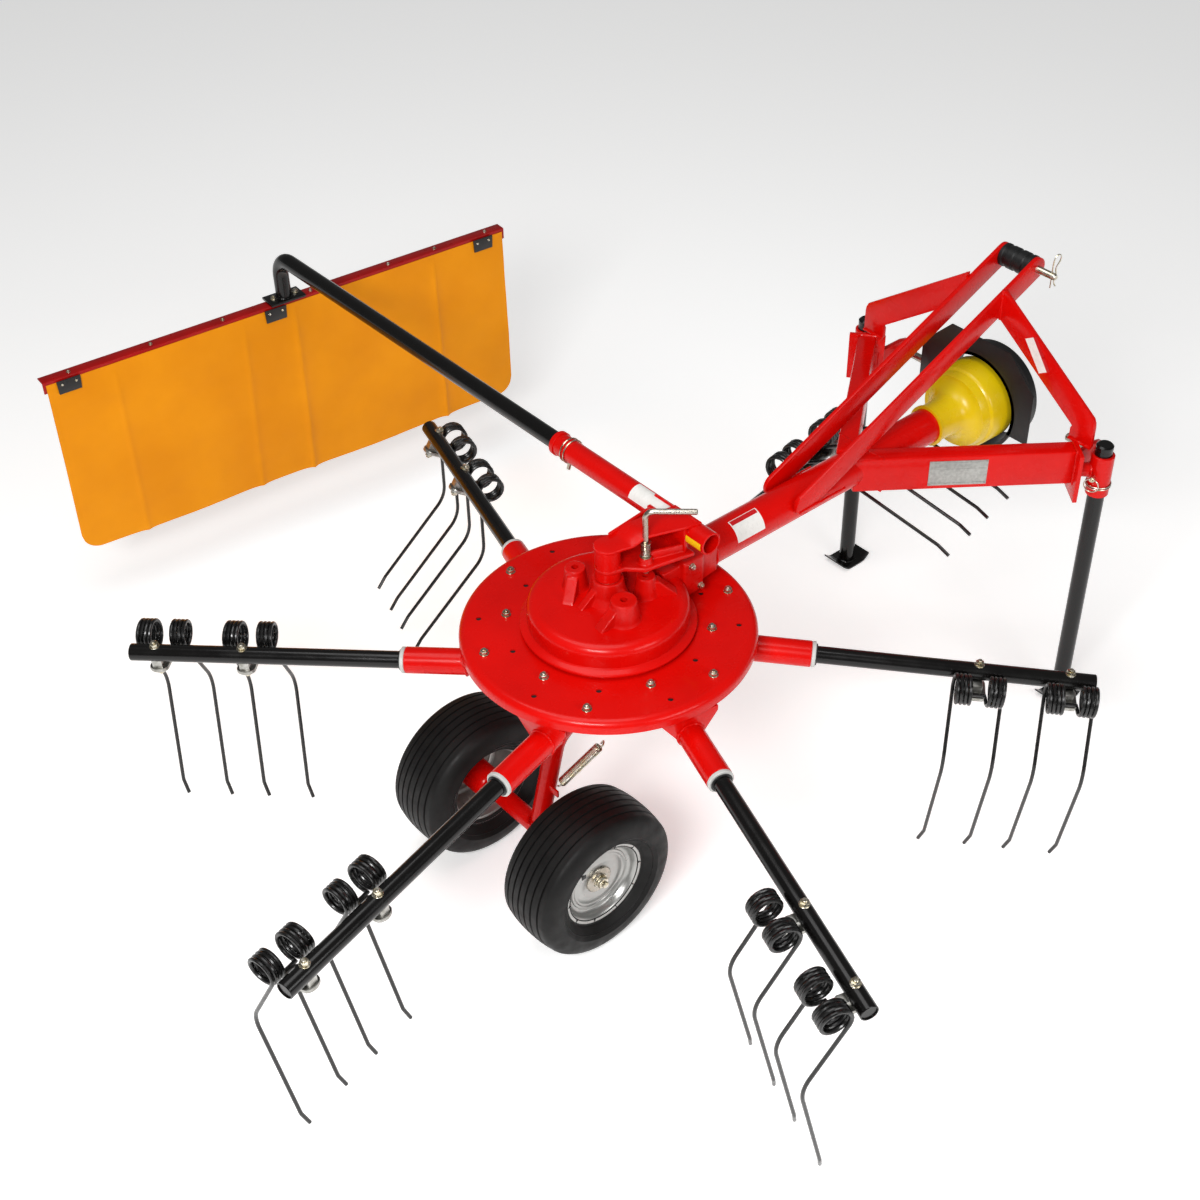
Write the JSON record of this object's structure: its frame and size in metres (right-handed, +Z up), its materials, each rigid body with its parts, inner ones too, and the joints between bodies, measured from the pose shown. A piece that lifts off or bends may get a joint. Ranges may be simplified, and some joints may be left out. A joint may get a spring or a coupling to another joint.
{
  "type": "rotary hay rake",
  "caption": "Single-rotor rotary hay rake with sprung tine arms, a swivelling wheel pair, a swath curtain on a side boom and a three-point headstock with a guarded driveshaft input.",
  "frame": {"origin": "under the middle of the machine's box, on the ground that its wheels and parking stands rest on", "axes": "+X is the direction of travel, towards the headstock; +Y is the machine's left, where the curtain is; +Z is up"},
  "size_m": [2.5632, 2.8546, 1.196],
  "materials": {
    "red_paint": "glossy red machinery paint",
    "dark_red_paint": "glossy dark red paint",
    "black_paint": "glossy black paint",
    "spring_steel": "black coated spring steel",
    "tyre": "ribbed black rubber",
    "rim_paint": "silver painted pressed steel",
    "bright_steel": "zinc plated and machined steel",
    "yellow_plastic": "moulded yellow plastic",
    "black_plastic": "moulded black plastic and rubber",
    "curtain_canvas": "plastic coated yellow canvas",
    "blank_plate": "blank metal plate"
  },
  "bodies": {
    "root": {"gearbox_housing": "red_paint", "cam_case": "red_paint", "king_post": "red_paint", "curtain_post": "bright_steel", "drawbar_tube": "red_paint", "pto_bell": "yellow_plastic", "pto_guard": "black_plastic", "pto_bearing": "bright_steel", "top_link_bushing": "black_plastic", "top_link_pin": "bright_steel", "nameplate": "blank_plate", "hitch_beam_left": "red_paint", "hitch_beam_right": "red_paint", "headstock_end_left": "red_paint", "headstock_end_right": "red_paint", "lower_link_pin_left": "bright_steel", "lower_link_pin_right": "bright_steel", "mast_strut_left": "red_paint", "mast_strut_right": "red_paint", "top_brace_left": "red_paint", "top_brace_right": "red_paint", "bogie_spring": "bright_steel"},
    "rotor": {"rotor_plate": "red_paint", "arm_housing_1": "red_paint", "arm_housing_2": "red_paint", "arm_housing_3": "red_paint", "arm_housing_4": "red_paint", "arm_housing_5": "red_paint", "arm_housing_6": "red_paint"},
    "arm_1": {"tine_arm_1": "black_paint", "double_tine_1_inner": "spring_steel", "double_tine_1_outer": "spring_steel"},
    "arm_2": {"tine_arm_2": "black_paint", "double_tine_2_inner": "spring_steel", "double_tine_2_outer": "spring_steel"},
    "arm_3": {"tine_arm_3": "black_paint", "double_tine_3_inner": "spring_steel", "double_tine_3_outer": "spring_steel"},
    "arm_4": {"tine_arm_4": "black_paint", "double_tine_4_inner": "spring_steel", "double_tine_4_outer": "spring_steel"},
    "arm_5": {"tine_arm_5": "black_paint", "double_tine_5_inner": "spring_steel", "double_tine_5_outer": "spring_steel"},
    "arm_6": {"tine_arm_6": "black_paint", "double_tine_6_inner": "spring_steel", "double_tine_6_outer": "spring_steel"},
    "curtain_arm": {"curtain_yoke": "red_paint", "lock_pin": "bright_steel"},
    "curtain_boom": {"boom_tube": "black_paint", "curtain_rail": "dark_red_paint", "curtain": "curtain_canvas"},
    "stand_left": {"parking_stand_left": "black_paint"},
    "stand_right": {"parking_stand_right": "black_paint"},
    "wheel_frame": {"wheel_bogie": "red_paint"},
    "wheel_left": {"tyre_left": "tyre", "rim_left": "rim_paint"},
    "wheel_right": {"tyre_right": "tyre", "rim_right": "rim_paint"},
    "pto": {"pto_shaft": "bright_steel"}
  },
  "joints": [
    {"name": "rotor_spin", "type": "hinge", "parent": "root", "child": "rotor", "pos_m": [-0.14939, -0.30691, 0.7], "axis": [0, 0, 1], "continuous": true},
    {"name": "arm_1_roll", "type": "hinge", "parent": "rotor", "child": "arm_1", "pos_m": [0.22737, -0.16153, 0.62236], "axis": [-0.9743, -0.2196, 0.0497], "range_deg": [-117, 1]},
    {"name": "arm_2_roll", "type": "hinge", "parent": "rotor", "child": "arm_2", "pos_m": [-0.08692, 0.09206, 0.62236], "axis": [-0.297, -0.9536, 0.0497], "range_deg": [-1, 117]},
    {"name": "arm_3_roll", "type": "hinge", "parent": "rotor", "child": "arm_3", "pos_m": [-0.46368, -0.05332, 0.62236], "axis": [0.6773, -0.734, 0.0497], "range_deg": [-30, 88]},
    {"name": "arm_4_roll", "type": "hinge", "parent": "rotor", "child": "arm_4", "pos_m": [-0.52615, -0.4523, 0.62236], "axis": [0.9743, 0.2196, 0.0497], "range_deg": [-30, 88]},
    {"name": "arm_5_roll", "type": "hinge", "parent": "rotor", "child": "arm_5", "pos_m": [-0.21186, -0.70589, 0.62236], "axis": [0.297, 0.9536, 0.0497], "range_deg": [-30, 88]},
    {"name": "arm_6_roll", "type": "hinge", "parent": "rotor", "child": "arm_6", "pos_m": [0.1649, -0.56051, 0.62236], "axis": [-0.6773, 0.734, 0.0497], "range_deg": [-30, 88]},
    {"name": "curtain_swing", "type": "hinge", "parent": "root", "child": "curtain_arm", "pos_m": [-0.14939, -0.30691, 0.9], "axis": [0, 0, 1], "range_deg": [-30, 90]},
    {"name": "curtain_slide", "type": "slide", "parent": "curtain_arm", "child": "curtain_boom", "axis": [0, 1, 0], "range_m": [-0.25, 0.2]},
    {"name": "stand_left_slide", "type": "slide", "parent": "root", "child": "stand_left", "axis": [0, 0, 1], "range_m": [0, 0.645]},
    {"name": "stand_right_slide", "type": "slide", "parent": "root", "child": "stand_right", "axis": [0, 0, 1], "range_m": [0, 0.645]},
    {"name": "bogie_steer", "type": "hinge", "parent": "root", "child": "wheel_frame", "pos_m": [-0.14939, -0.30691, 0.5], "axis": [0, 0, 1], "range_deg": [-15, 15], "stiffness_Nm_per_rad": 60, "deforming": ["bogie_spring"]},
    {"name": "wheel_left_spin", "type": "hinge", "parent": "wheel_frame", "child": "wheel_left", "pos_m": [-0.38439, -0.05191, 0.2025], "axis": [0, 1, 0], "continuous": true},
    {"name": "wheel_right_spin", "type": "hinge", "parent": "wheel_frame", "child": "wheel_right", "pos_m": [-0.38439, -0.49191, 0.2025], "axis": [0, 1, 0], "continuous": true},
    {"name": "pto_spin", "type": "hinge", "parent": "root", "child": "pto", "pos_m": [0.95061, -0.30691, 0.79], "axis": [1, 0, 0], "continuous": true}
  ],
  "couplings": [
    {"joint": "pto_spin", "follows": "rotor_spin", "ratio": -5.5}
  ]
}
